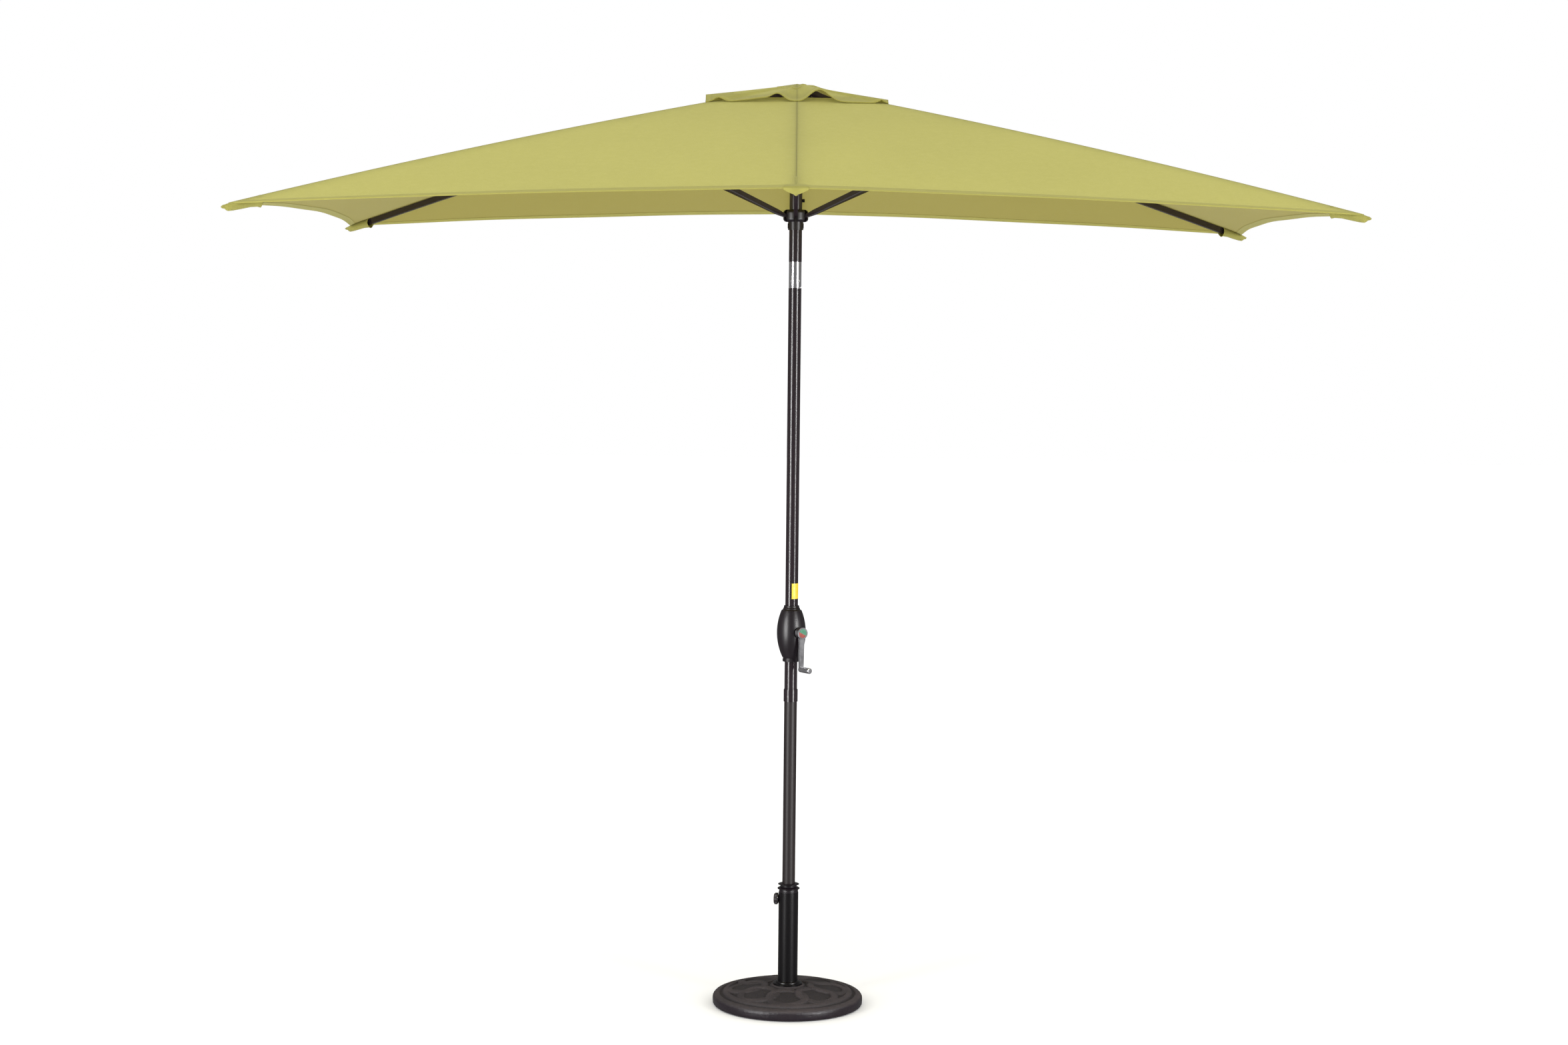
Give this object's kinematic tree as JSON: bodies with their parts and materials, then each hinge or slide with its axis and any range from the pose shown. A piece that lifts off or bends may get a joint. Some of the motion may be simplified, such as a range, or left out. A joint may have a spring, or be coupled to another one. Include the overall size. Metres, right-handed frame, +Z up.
{
  "type": "patio umbrella with base",
  "caption": "Rectangular patio umbrella with a vented fabric canopy on folding ribs, a crank-lift tilting pole and a round weighted base.",
  "frame": {"origin": "on the pole's axis at the ground, under the base's rubber pads", "axes": "+Z up the pole; +X to the right along the canopy's long side; -Y towards the front"},
  "size_m": [2.949, 1.9706, 2.7434],
  "materials": {
    "canopy_cloth": "matte",
    "frame_bronze": "satin",
    "case_plastic": "satin",
    "black_plastic": "matte",
    "base_stone": "matte",
    "tube_black": "satin",
    "bright_plate": "polished",
    "plain_steel": "satin",
    "foot_rubber": "matte",
    "lift_cord": "matte",
    "label_yellow": "satin",
    "badge_colours": "gloss"
  },
  "bodies": {
    "base": {"base_disc": "base_stone", "foot_pads": "foot_rubber", "base_tube": "tube_black", "base_bolt": "plain_steel", "foot_collar": "tube_black"},
    "clamp_knob": {"clamp_knob": "black_plastic"},
    "reducer": {"reducer_ring": "case_plastic"},
    "mast": {"lower_pole": "frame_bronze", "pole_foot_plug": "black_plastic", "middle_pole": "frame_bronze", "joint_collar": "frame_bronze", "crank_case_left": "case_plastic", "crank_case_right": "case_plastic", "crank_case_screws": "plain_steel", "pole_label": "label_yellow", "tilt_knuckle": "black_plastic", "lift_cord_lower": "lift_cord"},
    "crank": {"crank_shaft": "plain_steel", "cord_spool": "black_plastic", "crank_arm": "bright_plate", "crank_badge": "badge_colours"},
    "crank_grip": {"crank_grip": "bright_plate"},
    "tilt_head": {"tilt_sleeve": "bright_plate", "tilt_pin": "plain_steel", "button_spring": "plain_steel", "upper_pole": "frame_bronze", "stop_bolts": "tube_black", "top_hub": "black_plastic", "hub_pins": "plain_steel", "hub_nut": "black_plastic", "vent_cap": "canopy_cloth", "lift_cord_upper": "lift_cord"},
    "tilt_button": {"tilt_button": "bright_plate"},
    "lift_sheave": {"lift_sheave": "black_plastic"},
    "runner": {"runner": "case_plastic", "lift_cord_outer": "lift_cord"},
    "rib_front_middle": {"rib_front_middle": "frame_bronze", "rib_tip_front_middle": "black_plastic", "canopy_front_middle": "canopy_cloth"},
    "strut_front_middle": {"strut_front_middle": "frame_bronze"},
    "rib_front_right": {"rib_front_right": "frame_bronze", "rib_tip_front_right": "black_plastic", "canopy_front_right": "canopy_cloth"},
    "strut_front_right": {"strut_front_right": "frame_bronze"},
    "rib_back_right": {"rib_back_right": "frame_bronze", "rib_tip_back_right": "black_plastic", "canopy_back_right": "canopy_cloth"},
    "strut_back_right": {"strut_back_right": "frame_bronze"},
    "rib_back_middle": {"rib_back_middle": "frame_bronze", "rib_tip_back_middle": "black_plastic", "canopy_back_middle": "canopy_cloth"},
    "strut_back_middle": {"strut_back_middle": "frame_bronze"},
    "rib_back_left": {"rib_back_left": "frame_bronze", "rib_tip_back_left": "black_plastic", "canopy_back_left": "canopy_cloth"},
    "strut_back_left": {"strut_back_left": "frame_bronze"},
    "rib_front_left": {"rib_front_left": "frame_bronze", "rib_tip_front_left": "black_plastic", "canopy_front_left": "canopy_cloth"},
    "strut_front_left": {"strut_front_left": "frame_bronze"}
  },
  "joints": [
    {"name": "clamp_knob_turn", "type": "hinge", "parent": "base", "child": "clamp_knob", "pos_m": [-0.03447, 0.00608, 0.318], "axis": [-0.9848, 0.1736, 0], "range_deg": [-1080, 0]},
    {"name": "mast_swivel", "type": "hinge", "parent": "base", "child": "reducer", "pos_m": [0, 0, 0.35], "axis": [0, 0, 1], "continuous": true},
    {"name": "mast_lift", "type": "slide", "parent": "reducer", "child": "mast", "axis": [0, 0, 1], "range_m": [0, 0.25]},
    {"name": "tilt", "type": "hinge", "parent": "mast", "child": "tilt_head", "pos_m": [0, 0, 2.168], "axis": [-0.6157, 0.788, 0], "range_deg": [0, 36]},
    {"name": "tilt_button_press", "type": "slide", "parent": "tilt_head", "child": "tilt_button", "axis": [0.788, 0.6157, 0], "range_m": [0, 0.003], "stiffness_N_per_m": 300, "springref_m": -0.004},
    {"name": "runner_slide", "type": "slide", "parent": "tilt_head", "child": "runner", "axis": [0, 0, 1], "range_m": [-0.8435, 0], "deforming": ["lift_cord_outer", "vent_cap"]},
    {"name": "crank_turn", "type": "hinge", "parent": "mast", "child": "crank", "pos_m": [0, 0, 1.127], "axis": [0.5592, -0.829, 0], "range_deg": [0, 4015]},
    {"name": "grip_spin", "type": "hinge", "parent": "crank", "child": "crank_grip", "pos_m": [0.04194, -0.06218, 1.019], "axis": [0.5592, -0.829, 0], "continuous": true},
    {"name": "sheave_turn", "type": "hinge", "parent": "tilt_head", "child": "lift_sheave", "pos_m": [0.00637, 0.0119, 2.708], "axis": [-0.8817, 0.4718, 0], "range_deg": [0, 4395]},
    {"name": "rib_hinge_front_middle", "type": "hinge", "parent": "tilt_head", "child": "rib_front_middle", "pos_m": [0, -0.04, 2.714], "axis": [1, 0, 0], "range_deg": [0, 62.96], "deforming": ["canopy_front_middle"]},
    {"name": "strut_hinge_front_middle", "type": "hinge", "parent": "rib_front_middle", "child": "strut_front_middle", "pos_m": [0, -0.61455, 2.50166], "axis": [1, 0, 0], "range_deg": [-132.05, 0]},
    {"name": "rib_hinge_front_right", "type": "hinge", "parent": "tilt_head", "child": "rib_front_right", "pos_m": [0.03328, -0.02219, 2.714], "axis": [0.5547, 0.8321, 0], "range_deg": [0, 72.01], "deforming": ["canopy_front_right"]},
    {"name": "strut_hinge_front_right", "type": "hinge", "parent": "rib_front_right", "child": "strut_front_right", "pos_m": [0.50888, -0.33926, 2.58571], "axis": [0.5547, 0.8321, 0], "range_deg": [-134.99, 0]},
    {"name": "rib_hinge_back_right", "type": "hinge", "parent": "tilt_head", "child": "rib_back_right", "pos_m": [0.03328, 0.02219, 2.714], "axis": [-0.5547, 0.8321, 0], "range_deg": [0, 72.01], "deforming": ["canopy_back_right"]},
    {"name": "strut_hinge_back_right", "type": "hinge", "parent": "rib_back_right", "child": "strut_back_right", "pos_m": [0.50888, 0.33926, 2.58571], "axis": [-0.5547, 0.8321, 0], "range_deg": [-134.99, 0]},
    {"name": "rib_hinge_back_middle", "type": "hinge", "parent": "tilt_head", "child": "rib_back_middle", "pos_m": [0, 0.04, 2.714], "axis": [-1, 0, 0], "range_deg": [0, 62.96], "deforming": ["canopy_back_middle"]},
    {"name": "strut_hinge_back_middle", "type": "hinge", "parent": "rib_back_middle", "child": "strut_back_middle", "pos_m": [0, 0.61455, 2.50166], "axis": [-1, 0, 0], "range_deg": [-132.05, 0]},
    {"name": "rib_hinge_back_left", "type": "hinge", "parent": "tilt_head", "child": "rib_back_left", "pos_m": [-0.03328, 0.02219, 2.714], "axis": [-0.5547, -0.8321, 0], "range_deg": [0, 72.01], "deforming": ["canopy_back_left"]},
    {"name": "strut_hinge_back_left", "type": "hinge", "parent": "rib_back_left", "child": "strut_back_left", "pos_m": [-0.50888, 0.33926, 2.58571], "axis": [-0.5547, -0.8321, 0], "range_deg": [-134.99, 0]},
    {"name": "rib_hinge_front_left", "type": "hinge", "parent": "tilt_head", "child": "rib_front_left", "pos_m": [-0.03328, -0.02219, 2.714], "axis": [0.5547, -0.8321, 0], "range_deg": [0, 72.01], "deforming": ["canopy_front_left"]},
    {"name": "strut_hinge_front_left", "type": "hinge", "parent": "rib_front_left", "child": "strut_front_left", "pos_m": [-0.50888, -0.33926, 2.58571], "axis": [0.5547, -0.8321, 0], "range_deg": [-134.99, 0]}
  ],
  "couplings": [
    {"joint": "crank_turn", "follows": "runner_slide", "rad_per_m": -82.988},
    {"joint": "sheave_turn", "follows": "runner_slide", "rad_per_m": -90.909},
    {"joint": "rib_hinge_front_middle", "follows": "runner_slide", "rad_per_m": -1.3025},
    {"joint": "strut_hinge_front_middle", "follows": "runner_slide", "rad_per_m": 2.7322},
    {"joint": "rib_hinge_front_right", "follows": "runner_slide", "rad_per_m": -1.4898},
    {"joint": "strut_hinge_front_right", "follows": "runner_slide", "rad_per_m": 2.793},
    {"joint": "rib_hinge_back_right", "follows": "runner_slide", "rad_per_m": -1.4898},
    {"joint": "strut_hinge_back_right", "follows": "runner_slide", "rad_per_m": 2.793},
    {"joint": "rib_hinge_back_middle", "follows": "runner_slide", "rad_per_m": -1.3025},
    {"joint": "strut_hinge_back_middle", "follows": "runner_slide", "rad_per_m": 2.7322},
    {"joint": "rib_hinge_back_left", "follows": "runner_slide", "rad_per_m": -1.4898},
    {"joint": "strut_hinge_back_left", "follows": "runner_slide", "rad_per_m": 2.793},
    {"joint": "rib_hinge_front_left", "follows": "runner_slide", "rad_per_m": -1.4898},
    {"joint": "strut_hinge_front_left", "follows": "runner_slide", "rad_per_m": 2.793}
  ]
}
